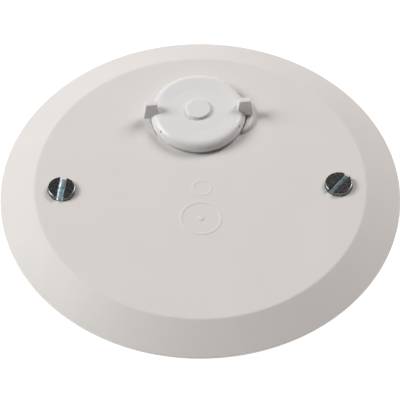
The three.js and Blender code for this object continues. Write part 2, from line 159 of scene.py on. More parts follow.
# ---- outlines and solids ----
def smoothed(corners, closed=False, steps=6):
    """An outline with each corner (u, v, rounding) replaced by an arc of that radius."""
    outline = []
    last = len(corners) - 1
    for i, (u, v, *rounding) in enumerate(corners):
        corner = Vector((u, v))
        if not rounding or (not closed and i in (0, last)):
            outline.append(corner)
            continue
        before = Vector(corners[i - 1][:2]) - corner
        after = Vector(corners[(i + 1) % len(corners)][:2]) - corner
        half = before.angle(after) / 2
        reach = min(rounding[0] / math.tan(half), 0.49 * before.length, 0.49 * after.length)
        radius = reach * math.tan(half)
        bisector = (before.normalized() + after.normalized()).normalized()
        centre = corner + bisector * (radius / math.sin(half))
        start = corner + before.normalized() * reach - centre
        sweep = start.angle_signed(corner + after.normalized() * reach - centre)
        for k in range(steps + 1):
            outline.append(centre + Matrix.Rotation(-sweep * k / steps, 2) @ start)
    return outline


def to_object(bm, name="tool"):
    bmesh.ops.recalc_face_normals(bm, faces=bm.faces)
    mesh = bpy.data.meshes.new(name)
    bm.to_mesh(mesh)
    bm.free()
    obj = bpy.data.objects.new(name, mesh)
    scene.collection.objects.link(obj)
    return obj


def ring_of_faces(bm, low, high):
    """Faces between two rings of vertices, either of which may be a single point."""
    count = max(len(low), len(high))
    for i in range(count):
        j = (i + 1) % count
        corners = [low[i % len(low)], low[j % len(low)], high[j % len(high)], high[i % len(high)]]
        bm.faces.new(dict.fromkeys(corners))


def turned(corners, x=0, y=0, segments=96, closed=False):
    """A solid turned about the vertical through (x, y), from corners (radius, z, rounding)."""
    outline = smoothed(corners, closed)
    bm = bmesh.new()
    rings = []
    for r, z in outline:
        angles = [math.tau * i / segments for i in range(segments)] if r > 1e-6 else [0]
        place = [(x + r * math.cos(a), y + r * math.sin(a), z) for a in angles]
        rings.append([bm.verts.new(Vector(p) * MM) for p in place])
    for low, high in zip(rings, rings[1:] + rings[:1] if closed else rings[1:]):
        flat = abs(low[0].co.z - high[0].co.z) < 1e-9
        if flat and 1 in (len(low), len(high)):
            bm.faces.new(max(low, high, key=len))
            bm.verts.remove(min(low, high, key=len)[0])
        else:
            ring_of_faces(bm, low, high)
    return to_object(bm)


def disc(radius, z0, z1, x=0, y=0, segments=96, rounding=0):
    corners = [(0, z0), (radius, z0, rounding), (radius, z1, rounding), (0, z1)]
    if not rounding:
        corners = [corner[:2] for corner in corners]
    return turned(corners, x, y, segments)


def washer(outer, inner, z0, z1, x=0, y=0, segments=96, rounding=0.05):
    corners = [(r, z, rounding) for r, z in ((inner, z0), (outer, z0), (outer, z1), (inner, z1))]
    return turned(corners, x, y, segments, closed=True)


def extruded(corners, z0, z1, taper=1):
    """A vertical prism over the outline (x, y, rounding), scaled by taper at its top."""
    outline = smoothed(corners, closed=True, steps=5)
    middle = sum(outline, Vector((0, 0))) / len(outline)
    bm = bmesh.new()
    rings = []
    for z, scale in ((z0, 1), (z1, taper)):
        points = [middle + (p - middle) * scale for p in outline]
        rings.append([bm.verts.new((p.x * MM, p.y * MM, z * MM)) for p in points])
        bm.faces.new(rings[-1])
    ring_of_faces(bm, *rings)
    return to_object(bm)


def block(x0, x1, y0, y1, z0, z1, rounding=0.0, steps=2):
    """A box with every edge rounded."""
    bm = bmesh.new()
    size = Matrix.Diagonal(((x1 - x0) * MM, (y1 - y0) * MM, (z1 - z0) * MM, 1))
    centre = Matrix.Translation(Vector((x0 + x1, y0 + y1, z0 + z1)) * MM / 2)
    bmesh.ops.create_cube(bm, size=1, matrix=centre @ size)
    if rounding:
        bmesh.ops.bevel(
            bm, geom=bm.edges, offset=rounding * MM, segments=steps, profile=0.5, affect="EDGES"
        )
    return to_object(bm)


def moved(obj, matrix):
    obj.data.transform(matrix)
    return obj


def about(x, y, angle):
    """A turn about the vertical through (x, y)."""
    middle = Matrix.Translation((x * MM, y * MM, 0))
    return middle @ Matrix.Rotation(angle, 4, "Z") @ middle.inverted()


def combined(target, operation, others):
    """The first solid with the others joined to it or cut from it; the others are used up."""
    for other in others:
        modifier = target.modifiers.new("combine", "BOOLEAN")
        modifier.operation = operation
        modifier.solver = "EXACT"
        modifier.material_mode = "TRANSFER"
        modifier.object = other
    graph = bpy.context.evaluated_depsgraph_get()
    mesh = bpy.data.meshes.new_from_object(target.evaluated_get(graph))
    target.modifiers.clear()
    target.data = mesh
    for other in others:
        bpy.data.objects.remove(other)
    return target


def joined(target, *others):
    return combined(target, "UNION", others)


def carved(target, *cutters):
    return combined(target, "DIFFERENCE", cutters)


def together(first, *others):
    """One object of several separate shells."""
    bm = bmesh.new()
    for obj in (first, *others):
        bm.from_mesh(obj.data)
    for obj in others:
        bpy.data.objects.remove(obj)
    bm.to_mesh(first.data)
    bm.free()
    return first


def install(obj, name, body, surface, stands_for=(), sharp=32):
    """Names, shades and paints a finished piece and fixes it to its CAD body."""
    bm = bmesh.new()
    bm.from_mesh(obj.data)
    bmesh.ops.remove_doubles(bm, verts=bm.verts, dist=1e-7)
    for face in bm.faces:
        face.smooth = True
    for edge in bm.edges:
        edge.smooth = len(edge.link_faces) == 2 and edge.calc_face_angle() < math.radians(sharp)
    bm.to_mesh(obj.data)
    bm.free()
    obj.name = obj.data.name = name
    weighted = obj.modifiers.new("weighted_normals", "WEIGHTED_NORMAL")
    weighted.keep_sharp = True
    if len(obj.data.materials) == 0:
        obj.data.materials.append(surface)
    obj.data.materials[0] = surface
    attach(obj, body)
    if stands_for:
        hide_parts(*stands_for)


# ---- surfaces ----
class Surface:
    """A procedural material: one Principled shader and the textures that feed it."""

    def __init__(self, name, roughness, metallic=0.0, **sockets):
        self.material = bpy.data.materials.new(name)
        self.material.use_nodes = True
        self.tree = self.material.node_tree
        self.shader = self.tree.nodes["Principled BSDF"]
        self.place = self.tree.nodes.new("ShaderNodeTexCoord").outputs["Object"]
        sockets = {"Roughness": roughness, "Metallic": metallic, **sockets}
        for socket, value in sockets.items():
            self.shader.inputs[socket].default_value = value
        self.height = None

    def link(self, output, target, socket):
        self.tree.links.new(output, target.inputs[socket])

    def noise(self, size, detail=2.0, stretch=(1, 1, 1)):
        """Cloudy noise with features of this size in mm."""
        mapping = self.tree.nodes.new("ShaderNodeMapping")
        mapping.inputs["Scale"].default_value = stretch
        texture = self.tree.nodes.new("ShaderNodeTexNoise")
        texture.inputs["Scale"].default_value = 1 / (size * MM)
        texture.inputs["Detail"].default_value = detail
        self.link(self.place, mapping, "Vector")
        self.link(mapping.outputs["Vector"], texture, "Vector")
        return texture.outputs["Fac"]

    def cells(self, size):
        """Distance from the middle of rounded cells of this size in mm."""
        texture = self.tree.nodes.new("ShaderNodeTexVoronoi")
        texture.inputs["Scale"].default_value = 1 / (size * MM)
        self.link(self.place, texture, "Vector")
        return texture.outputs["Distance"]

    def spread(self, fac, low, high, start=0.3, end=0.7):
        """The factor's range start to end, mapped to low to high."""
        node = self.tree.nodes.new("ShaderNodeMapRange")
        values = {"From Min": start, "From Max": end, "To Min": low, "To Max": high}
        for socket, value in values.items():
            node.inputs[socket].default_value = value
        self.link(fac, node, "Value")
        return node.outputs["Result"]

    def colour(self, fac, *stops):
        """Colours spread evenly along the factor's middle range."""
        ramp = self.tree.nodes.new("ShaderNodeValToRGB")
        elements = ramp.color_ramp.elements
        while len(elements) < len(stops):
            elements.new(0.5)
        for i, (element, stop) in enumerate(zip(elements, stops)):
            element.position = 0.3 + 0.4 * i / (len(stops) - 1)
            element.color = (*stop, 1)
        self.link(fac, ramp, "Fac")
        self.link(ramp.outputs["Color"], self.shader, "Base Color")

    def rough(self, fac, low, high):
        self.link(self.spread(fac, low, high), self.shader, "Roughness")

    def bump(self, fac, depth):
        """Adds relief of this depth in mm."""
        node = self.tree.nodes.new("ShaderNodeBump")
        node.inputs["Distance"].default_value = depth * MM
        self.link(fac, node, "Height")
        if self.height:
            self.link(self.height, node, "Normal")
        self.height = node.outputs["Normal"]
        self.link(self.height, self.shader, "Normal")


def moulded(name, tint, roughness=0.45, grain=0.004, variation=0.03, **sockets):
    """Injection-moulded plastic: fine spark-eroded grain, faint flow clouds and rubbed spots."""
    surface = Surface(name, roughness, **sockets)
    darker = tuple(c * (1 - variation) for c in tint)
    lighter = tuple(min(1, c * (1 + variation)) for c in tint)
    clouds = surface.noise(14, detail=3)
    surface.colour(clouds, darker, tint, lighter)
    surface.rough(surface.noise(3, detail=4), roughness - 0.04, roughness + 0.05)
    surface.bump(surface.noise(0.35, detail=3), grain)
    surface.bump(surface.noise(6, detail=1), grain * 1.5)
    return surface.material


def metal(name, tint, roughness, stretch=(1, 1, 1), scratch=0.003, variation=0.12):
    """Bare or plated metal: mottled tone, uneven polish and fine drawn lines."""
    surface = Surface(name, roughness, metallic=1.0)
    dull = tuple(c * (1 - variation) for c in tint)
    bright = tuple(min(1, c * (1 + variation)) for c in tint)
    surface.colour(surface.noise(0.9, detail=4), dull, tint, bright)
    surface.rough(surface.noise(0.5, detail=3), roughness * 0.8, roughness * 1.3)
    surface.bump(surface.noise(0.18, detail=3, stretch=stretch), scratch)
    return surface.material


cover_plastic = moulded("cover_plastic", (0.70, 0.662, 0.636), 0.6, grain=0.0025, variation=0.012)
cap_plastic = moulded("cap_plastic", (0.735, 0.72, 0.712), 0.36, grain=0.002, variation=0.01)
# zinc with its base colour darkened: a painted dark reflection on the screw heads' tops
zinc_painted_dark_reflection = metal("zinc_painted_dark_reflection", (0.235, 0.24, 0.24), 0.28, scratch=0.0015)
# blue-passivated zinc in the screw slots, with its brightness painted: a painted bright reflection
# in the left slot, a painted dim reflection in the right, and the wide tone variation paints
# patchy reflections
slot_painted_bright_reflection = metal("slot_painted_bright_reflection", (0.52, 0.64, 0.68), 0.5, scratch=0.012, variation=0.35)
slot_painted_dim_reflection = metal("slot_painted_dim_reflection", (0.21, 0.26, 0.275), 0.5, scratch=0.012, variation=0.35)
nylon = moulded("nylon", (0.78, 0.76, 0.70), 0.4)
housing_plastic = moulded("housing_plastic", (0.72, 0.70, 0.66), 0.5, grain=0.006)
black_plastic = moulded("black_plastic", (0.014, 0.014, 0.016), 0.5, grain=0.006, variation=0.2)
terminal_plastic = moulded("terminal_plastic", (0.045, 0.19, 0.10), 0.45, variation=0.08)
sleeve_plastic = moulded("sleeve_plastic", (0.018, 0.045, 0.16), 0.3, grain=0.002, variation=0.1)
sleeve_stripe = moulded("sleeve_stripe", (0.55, 0.60, 0.68), 0.35, grain=0.002)
clear_resin = moulded("clear_resin", (0.55, 0.62, 0.72), 0.08, grain=0.001, IOR=1.5)
dark_resin = moulded("dark_resin", (0.02, 0.014, 0.02), 0.12, grain=0.001, variation=0.2)
ceramic = moulded("ceramic", (0.42, 0.30, 0.17), 0.4, grain=0.003, variation=0.1)
tinned_steel = metal("tinned_steel", (0.56, 0.57, 0.58), 0.32, scratch=0.0012)
solder = metal("solder", (0.6, 0.61, 0.63), 0.26, scratch=0.001, variation=0.06)
aluminium = metal("aluminium", (0.6, 0.61, 0.62), 0.4, stretch=(1, 0.05, 1))
brass = metal("brass", (0.62, 0.44, 0.17), 0.3)


def soft_rubber():
    """Dull black rubber with a bloom of paler dust and fine moulding grain."""
    surface = Surface("rubber", 0.8)
    surface.colour(surface.noise(2.5, detail=5), (0.016, 0.016, 0.018), (0.03, 0.03, 0.032))
    surface.rough(surface.noise(0.8, detail=3), 0.68, 0.9)
    surface.bump(surface.noise(0.12, detail=2), 0.006)
    return surface.material


def cellular_foam():
    """Open-cell foam: round pores a third of a millimetre across, with painted shade darkening
    them inside.
    """
    surface = Surface("foam", 0.95)
    pores = surface.cells(0.35)
    # painted shade: the colour darkens towards each pore's middle
    surface.colour(pores, (0.03, 0.032, 0.035), (0.10, 0.105, 0.11), (0.13, 0.135, 0.14))
    surface.bump(pores, 0.12)
    return surface.material


def solder_mask(name, tint):
    """Glossy green lacquer over woven glass, which shows through as a faint square weave."""
    surface = Surface(name, 0.3)
    deep = tuple(c * 0.8 for c in tint)
    surface.colour(surface.noise(5, detail=4), deep, tint)
    surface.rough(surface.noise(1.2, detail=3), 0.25, 0.4)
    surface.bump(surface.noise(0.4, detail=0, stretch=(1, 0.15, 1)), 0.006)
    surface.bump(surface.noise(0.4, detail=0, stretch=(0.15, 1, 1)), 0.006)
    return surface.material


rubber = soft_rubber()
foam = cellular_foam()
board_lacquer = solder_mask("board_lacquer", (0.012, 0.105, 0.035))
track_lacquer = solder_mask("track_lacquer", (0.03, 0.21, 0.075))


# ---- front cover ----
def ring_mark(radius, half_width, height, x, y):
    """The faint raised ring that the edge of a moulding core leaves on the flat."""
    corners = [(radius + half_width, FLAT_Z - 0.2), (radius - half_width, FLAT_Z - 0.2)]
    for k in range(-6, 7):
        wave = (1 + math.cos(math.pi * k / 6)) / 2
        corners.append((radius + half_width * k / 6, FLAT_Z - 0.002 + height * wave))
    return turned(corners, x, y, 96, closed=True)


def oval_pad(side):
    """A low oval step beside the cap, level on top, with a rounded edge."""
    rise = PAD_RISE[side]
    pad = turned([
        (0, FLAT_Z - 0.6),
        (PAD_HALF_WIDTH, FLAT_Z - 0.6),
        (PAD_HALF_WIDTH, FLAT_Z + 0.05, 0.05),
        (PAD_HALF_WIDTH - 0.3, FLAT_Z + rise, rise / 2),
        (0, FLAT_Z + rise),
    ], segments=64)
    stretch = Matrix.Diagonal((1, PAD_HALF_LENGTH / PAD_HALF_WIDTH, 1, 1))
    tilt = Matrix.Rotation(side * math.radians(4), 4, "Y")
    top = Matrix.Translation((0, 0, (FLAT_Z + rise) * MM))
    place = Matrix.Translation((side * PAD_X * MM, PORT_Y * MM, 0))
    return moved(pad, place @ top @ tilt @ top.inverted() @ stretch)


def front_cover():
    slope = COVER_RADIUS - COVER_FLAT_RADIUS
    drop = FLAT_Z - CEILING_Z - COVER_EDGE
    bevel = math.hypot(slope, drop)

    def inner_radius(z):
        r = COVER_RADIUS - COVER_WALL * drop / bevel
        level = CEILING_Z + COVER_EDGE - COVER_WALL * slope / bevel
        return r - (z - level) * slope / drop

    cover = turned([
        (0, COVER_INNER_Z),
        (inner_radius(COVER_INNER_Z), COVER_INNER_Z, 0.5),
        (inner_radius(CEILING_Z), CEILING_Z, 0.1),
        (COVER_RADIUS, CEILING_Z, 0.12),
        (COVER_RADIUS, CEILING_Z + COVER_EDGE, 0.12),
        (COVER_FLAT_RADIUS, FLAT_Z, 1.3),
        (0, FLAT_Z),
    ], segments=192)
    socket = disc(SOCKET_RADIUS, SOCKET_END, FLAT_Z - 0.5, 0, PORT_Y)
    cover = joined(cover, oval_pad(-1), oval_pad(1), socket)
    tools = [
        disc(CAP_RADIUS + 0.14, FLAT_Z, FLAT_Z + 9, SLIT_SHIFT, PORT_Y, 128),
        turned([
            (0, SOCKET_END - 1),
            (PORT_RADIUS, SOCKET_END - 1),
            (PORT_RADIUS, FLAT_Z - 0.3),
            (PORT_RADIUS + 0.3, FLAT_Z + 0.05),
            (0, FLAT_Z + 0.05),
        ], 0, PORT_Y),
    ]
    for x in (-SCREW_X, SCREW_X):
        tools.append(disc(SCREW_SHANK_RADIUS + 0.3, COVER_INNER_Z - 1, FLAT_Z, x, 0, 48))
        tools.append(disc(SCREW_HEAD_RADIUS + 0.07, SCREW_HEAD_SEAT, FLAT_Z + 1, x, 0))
    carved(cover, *tools)
    gate = turned([
        (0, FLAT_Z - 0.3),
        (0.8, FLAT_Z - 0.3),
        (0.8, FLAT_Z - 0.02),
        (0.55, FLAT_Z + 0.12, 0.3),
        (0, FLAT_Z + 0.15),
    ], 0, -8.4, 32)
    joined(cover, gate, ring_mark(4.35, 0.42, 0.11, 0, -8.4), ring_mark(2, 0.42, 0.07, 0.4, 0))
    install(cover, "cover_moulding", "cover", cover_plastic, ["front_cover"])


# ---- cap ----
def lug(side):
    """A grip block on the cap's rim that leans back and narrows upwards."""
    bm = bmesh.new()
    corners = []
    for end in (LUG_FOOT, LUG_TOP):
        for x in end["x"]:
            for y in end["y"]:
                place = Vector((side * x, PORT_Y + y, end["z"])) * MM
                corners.append(bm.verts.new(place))
    bmesh.ops.convex_hull(bm, input=corners)
    bmesh.ops.dissolve_limit(bm, angle_limit=0.01, verts=bm.verts, edges=bm.edges)
    bmesh.ops.bevel(
        bm, geom=bm.edges, offset=0.22 * MM, segments=3, profile=0.5, affect="EDGES"
    )
    return to_object(bm)


def port_cap():
    skirt = FLAT_Z - 4.2
    rim = CAP_FACE_Z + CAP_BEAD
    corners = [
        (4.4, skirt, 0.1),
        (5.6, skirt, 0.2),
        (5.6, skirt + 1, 0.05),
        (4.9, skirt + 1, 0.05),
        (4.9, skirt + 2.1, 0.05),
        (5.6, skirt + 2.1, 0.05),
        (5.6, FLAT_Z + 0.1, 0.1),
        (CAP_RADIUS - 0.4, FLAT_Z + 0.1, 0.1),
    ]
    for k in range(SHOULDER_STEPS + 1):
        a = math.pi / 2 * k / SHOULDER_STEPS
        r = CAP_RADIUS - CAP_SHOULDER_WIDTH * (1 - math.cos(a))
        corners.append((r, rim - CAP_SHOULDER_DROP * (1 - math.sin(a))))
    corners += [
        (CAP_RADIUS - 4.4, CAP_FACE_Z, 1.2),
        (BUTTON_RADIUS, CAP_FACE_Z, 0.2),
        (BUTTON_TOP_RADIUS + 0.1, CAP_FACE_Z + BUTTON_RISE, 0.35),
        (0, CAP_FACE_Z + BUTTON_RISE),
    ]
    inside = [(0, FLAT_Z + 0.9), (4.4, FLAT_Z + 0.9, 0.3)]
    cap = turned(inside + corners, 0, PORT_Y, 128)
    cap = joined(cap, lug(-1), lug(1))
    nicks = []
    for degrees in (212.4, -28.2):
        a = math.radians(degrees)
        x = NICK_RADIUS * math.cos(a)
        y = PORT_Y + NICK_RADIUS * math.sin(a)
        nick = block(x - 0.3, x + 0.3, y - 0.16, y + 0.16, NICK_Z - 0.3, NICK_Z + 0.8, 0.05)
        nicks.append(moved(nick, about(x, y, a)))
    carved(cap, *nicks)
    moved(cap, about(0, PORT_Y, CAP_TWIST))
    install(cap, "cap_moulding", "cap", cap_plastic, ["port_cap"])


# ---- cover screws ----
def threaded(radius, depth, pitch, z0, z1, x, y, segments=36):
    """A shank with a true helical thread between z0 and z1."""
    bm = bmesh.new()
    rows = int((z1 - z0) / pitch * 8)
    rings = []
    for i in range(rows + 1):
        z = z0 + (z1 - z0) * i / rows
        ends = min(1, (z - z0) / pitch, (z1 - z) / pitch)
        ring = []
        for k in range(segments):
            phase = (z / pitch - k / segments) % 1
            crest = abs(2 * phase - 1)
            r = radius - depth * min(1, 1.25 * (1 - crest)) - 0.15 * (1 - ends)
            a = math.tau * k / segments
            ring.append(bm.verts.new(Vector((x + r * math.cos(a), y + r * math.sin(a), z)) * MM))
        rings.append(ring)
    for low, high in zip(rings, rings[1:]):
        ring_of_faces(bm, low, high)
    bm.faces.new(rings[0])
    bm.faces.new(rings[-1])
    return to_object(bm)


def cover_screw(side, x, slot_degrees, painted_slot_metal):
    head = turned([
        (0, SCREW_HEAD_SEAT - 0.1),
        (SCREW_SHANK_RADIUS, SCREW_HEAD_SEAT - 0.1),
        (SCREW_SHANK_RADIUS, SCREW_HEAD_SEAT),
        (SCREW_HEAD_RADIUS, SCREW_HEAD_SEAT, 0.08),
        (SCREW_HEAD_RADIUS, SCREW_HEAD_TOP, 0.28),
        (0, SCREW_HEAD_TOP),
    ], x, 0)
    half = SLOT_WIDTH / 2
    floor = SCREW_HEAD_TOP - SLOT_DEPTH
    slot = block(x - 4, x + 4, -half, half, floor, SCREW_HEAD_TOP + 1, 0.3, 4)
    slot.data.materials.append(painted_slot_metal)
    head.data.materials.append(zinc_painted_dark_reflection)
    carved(head, moved(slot, about(x, 0, math.radians(slot_degrees))))
    shank = threaded(SCREW_SHANK_RADIUS, 0.3, SCREW_PITCH, SCREW_TIP, SCREW_HEAD_SEAT - 0.05, x, 0)
    shank.data.materials.append(zinc_painted_dark_reflection)
    screw = together(head, shank)
    name = side + "_slotted_screw"
    install(screw, name, side + "_screw", zinc_painted_dark_reflection, [side + "_cover_screw"])


# ---- what holds the screws ----
def screw_holders(side, x):
    top = RETAINER_Z + RETAINER_HEIGHT
    bore = SCREW_SHANK_RADIUS + 0.08
    nylon_washer = washer(RETAINER_RADIUS, bore, RETAINER_Z, top, x, 0, 64, 0.15)
    name = side + "_retaining_washer"
    install(nylon_washer, name, side + "_retainer", nylon, [side + "_screw_retainer"])
    outline = []
    for k in range(2 * KNURL_TEETH):
        a = math.pi * k / KNURL_TEETH
        r = INSERT_RADIUS if k % 2 else INSERT_RADIUS - 0.14
        outline.append((x + r * math.cos(a), r * math.sin(a)))
    insert = carved(
        extruded(outline, INSERT_Z, INSERT_TOP_Z),
        disc(bore, INSERT_Z - 1, INSERT_TOP_Z + 1, x, 0, 64),
        washer(3, INSERT_RADIUS - 0.3, INSERT_Z + 2.6, INSERT_Z + 3.4, x, 0, 64, 0.1),
        turned([
            (0, INSERT_TOP_Z - 0.3),
            (bore, INSERT_TOP_Z - 0.3),
            (bore + 0.42, INSERT_TOP_Z + 0.1),
            (0, INSERT_TOP_Z + 0.1),
        ], x, 0, 64),
    )
    name = side + "_knurled_insert"
    install(insert, name, "root", brass, [side + "_threaded_insert"], sharp=15)


# ---- rear housing ----
def rear_housing():
    inner = HOUSING_RADIUS - HOUSING_WALL
    pad = WALL_PAD_HALF_WIDTH
    housing = turned([
        (0, 0),
        (HOUSING_RADIUS, 0, 0.9),
        (HOUSING_RADIUS, CEILING_Z, 0.4),
        (FLANGE_RADIUS, CEILING_Z, 0.2),
        (FLANGE_RADIUS, FLANGE_TOP_Z, 0.4),
        (inner, FLANGE_TOP_Z, 0.3),
        (inner, HOUSING_WALL, 1.0),
        (0, HOUSING_WALL),
    ], segments=160)
    solids = [
        block(-pad, pad, WALL_PAD_OUTER_Y, WALL_PAD_INNER_Y, 1.2, CEILING_Z + 0.4, 0.3),
        block(0.8 - pad, pad - 0.8, WALL_PAD_OUTER_Y + 0.6, WALL_PAD_INNER_Y + 0.3, 0.9, 1.9),
    ]
    tools = [
        block(0.3 - pad, pad - 0.3, WALL_PAD_INNER_Y, -22, HOUSING_WALL, FLANGE_TOP_Z + 1, 0.3)
    ]
    for x in (-SCREW_X, SCREW_X):
        solids.append(disc(BOSS_RADIUS, 3, FLANGE_TOP_Z - 0.02, x, 0, rounding=0.35))
        for turn in (-1, 1):
            rib = block(-0.6, 0.6, 3, 4.6, 1.5, 14, 0.1)
            inward = math.copysign(math.pi / 2, x) + turn * math.radians(42)
            place = Matrix.Translation((x * MM, 0, 0)) @ Matrix.Rotation(inward, 4, "Z")
            solids.append(moved(rib, place))
        tools.append(disc(RETAINER_RADIUS + 0.3, INSERT_TOP_Z, FLANGE_TOP_Z + 1, x, 0))
        tools.append(disc(INSERT_RADIUS + 0.02, INSERT_Z, INSERT_TOP_Z + 1, x, 0))
        tools.append(disc(2, INSERT_Z - 1.6, INSERT_Z + 1, x, 0))
    for x, y in BOARD_SCREWS.values():
        solids.append(turned([
            (0, HOUSING_WALL - 0.5),
            (3.3, HOUSING_WALL - 0.5),
            (3.3, HOUSING_WALL, 0.3),
            (2.4, HOUSING_WALL + 0.05, 0.5),
            (2.4, BOARD_Z, 0.15),
            (0, BOARD_Z),
        ], x, y, 48))
        tools.append(disc(1.15, 1.2, BOARD_Z + 1, x, y, 32))
    for y in (-FLANGE_HOLE_Y, FLANGE_HOLE_Y):
        hole = FLANGE_HOLE_RADIUS
        tools.append(disc(hole, CEILING_Z - 1, FLANGE_TOP_Z + 1, 0, y, 48))
        tools.append(turned([
            (0, FLANGE_TOP_Z - 0.5),
            (hole, FLANGE_TOP_Z - 0.5),
            (hole + 0.8, FLANGE_TOP_Z + 0.3),
            (0, FLANGE_TOP_Z + 0.3),
        ], 0, y, 48))
    for degrees in range(20, 380, 72):  # ejector marks inside and out
        a = math.radians(degrees)
        tools.append(disc(1.6, HOUSING_WALL - 0.12, 3, 12 * math.cos(a), 12 * math.sin(a), 32))
        tools.append(disc(1.3, -1, 0.1, 22 * math.cos(a), 22 * math.sin(a), 32))
    entry = disc(5.2, 0, 8)
    tools.append(moved(entry, Matrix.Translation((0, -0.024, GROMMET_Z * MM))
                       @ Matrix.Rotation(math.pi / 2, 4, "X")))
    joined(housing, *solids)
    carved(housing, *tools)
    install(housing, "housing_moulding", "root", housing_plastic,
            ["rear_housing"])


def seals():
    """The foam rings, the O-ring in the cap's plug groove and the cable grommet."""
    draught = washer(
        SEAL_OUTER_RADIUS, SEAL_INNER_RADIUS, FLANGE_TOP_Z, COVER_INNER_Z,
        rounding=0.25, segments=160,
    )
    install(draught, "foam_ring", "root", foam, ["draught_seal"])
    gasket = washer(
        GASKET_OUTER_RADIUS, GASKET_INNER_RADIUS, CHAMBER_TOP_Z, CHAMBER_TOP_Z + GASKET_HEIGHT,
        0, PORT_Y, rounding=0.2,
    )
    install(gasket, "port_foam", "root", foam, ["port_gasket"])
    circle = []
    for k in range(20):
        a = math.tau * k / 20
        circle.append((5.42 + 0.48 * math.cos(a), FLAT_Z - 2.65 + 0.45 * math.sin(a)))
    o_ring = turned(circle, 0, PORT_Y, closed=True)
    install(o_ring, "plug_o_ring", "cap_seal", rubber, ["cap_seal"])
    bore = GROMMET_BORE_RADIUS
    grommet = turned([
        (bore, 0, 0.4),
        (6.4, 0.35, 0.35),
        (6.4, 1, 0.15),
        (5, 1, 0.1),
        (5, 3.95, 0.1),
        (6.4, 3.95, 0.15),
        (6.4, 4.4, 0.3),
        (5.2, 5.1, 0.4),
        (bore, 5.1, 0.4),
    ], closed=True)
    place = Matrix.Translation(Vector((0, -25.7, GROMMET_Z)) * MM)
    moved(grommet, place @ Matrix.Rotation(math.pi / 2, 4, "X"))
    install(grommet, "cable_inlet", "root", rubber, ["cable_grommet"])


# ---- circuit board ----
def strip(points, width, thickness, upright=False):
    """A flat bar bent along points: in the board's plane, or upright in x and z."""
    bm = bmesh.new()
    rings = []
    for i, point in enumerate(points):
        here = Vector(point)
        ahead = Vector(points[min(i + 1, len(points) - 1)])
        behind = Vector(points[max(i - 1, 0)])
        along = (ahead - behind).normalized()
        side = Vector((0, 1, 0)) if upright else Vector((-along.y, along.x, 0))
        rise = along.cross(side).normalized()
        if i not in (0, len(points) - 1):
            turn = (ahead - here).angle(here - behind) / 2
            scale = 1 / math.cos(turn)
        else:
            scale = 1
        across = side * (width / 2) * (1 if upright else scale)
        lift = rise * (thickness / 2) * (scale if upright else 1)
        corners = (here - across - lift, here + across - lift, here + across + lift,
                   here - across + lift)
        rings.append([bm.verts.new(c * MM) for c in corners])
    for low, high in zip(rings, rings[1:]):
        ring_of_faces(bm, low, high)
    bm.faces.new(rings[0])
    bm.faces.new(rings[-1])
    return to_object(bm)


def pan_screw(name, x, y):
    head = turned([
        (0, BOARD_Z - 2),
        (0.6, BOARD_Z - 2),
        (1.05, BOARD_Z - 1.5),
        (1.05, BOARD_TOP_Z),
        (1.9, BOARD_TOP_Z, 0.08),
        (1.9, BOARD_TOP_Z + 0.7, 0.4),
        (1.3, BOARD_TOP_Z + 1.25, 0.8),
        (0, BOARD_TOP_Z + 1.3),
    ], x, y, 48)
    cross = []
    for turn in (0, math.pi / 2):
        blade = block(x - 1.1, x + 1.1, y - 0.2, y + 0.2, BOARD_TOP_Z + 0.5, 8, 0.08)
        cross.append(moved(blade, about(x, y, turn + 0.3)))
    carved(head, *cross)
    install(head, "board_fixing_" + name, "root", tinned_steel,
            ["board_screw_" + name])


def surface_part(name, x, y, angle, size, body_surface, end_surface):
    """A chip resistor or capacitor: a small body with a wrapped solder end on each side."""
    length, width, height = size
    z = BOARD_TOP_Z + 0.05
    body = block(x - length / 2 + 0.3, x + length / 2 - 0.3, y - width / 2, y + width / 2,
                 z, z + height, 0.04)
    body.data.materials.append(body_surface)
    ends = []
    for side in (-1, 1):
        middle = x + side * (length / 2 - 0.17)
        end = block(middle - 0.17, middle + 0.17, y - width / 2 - 0.02, y + width / 2 + 0.02,
                    z - 0.02, z + height + 0.03, 0.06)
        end.data.materials.append(end_surface)
        ends.append(end)
    joined(body, *ends)
    moved(body, about(x, y, angle))
    install(body, name, "root", body_surface)


def bare_board():
    board = disc(BOARD_RADIUS, BOARD_Z, BOARD_TOP_Z, segments=144, rounding=0.08)
    tools = [block(-30, 30, -30, BLOCK_FRONT_Y - 0.3, 0, 10)]
    pads = []
    for x, y in BOARD_SCREWS.values():
        tools.append(disc(1.3, BOARD_Z - 1, BOARD_TOP_Z + 1, x, y, 32))
        pads.append(washer(2.6, 1.3, BOARD_TOP_Z - 0.1, BOARD_TOP_Z + 0.04, x, y, 48, 0.01))
    carved(board, *tools)
    install(board, "printed_board", "root", board_lacquer, ["circuit_board"])
    for x, y in VIAS:
        pads.append(washer(0.42, 0.16, BOARD_TOP_Z - 0.1, BOARD_TOP_Z + 0.04, x, y, 20, 0.01))
    for y in CHIP_LEGS_Y:
        for x in (CHIP_X - 2.95, CHIP_X + 2.95):
            pads.append(block(x - 0.75, x + 0.75, y - 0.3, y + 0.3, BOARD_TOP_Z - 0.1,
                              BOARD_TOP_Z + 0.05, 0.02))
    copper = together(*pads)
    install(copper, "tinned_pads", "root", solder)
    lines = []
    for route in TRACKS:
        points = [(x, y, BOARD_TOP_Z) for x, y in route]
        lines.append(strip(points, 0.45, 0.06))
    install(together(*lines), "board_tracks", "root", track_lacquer)


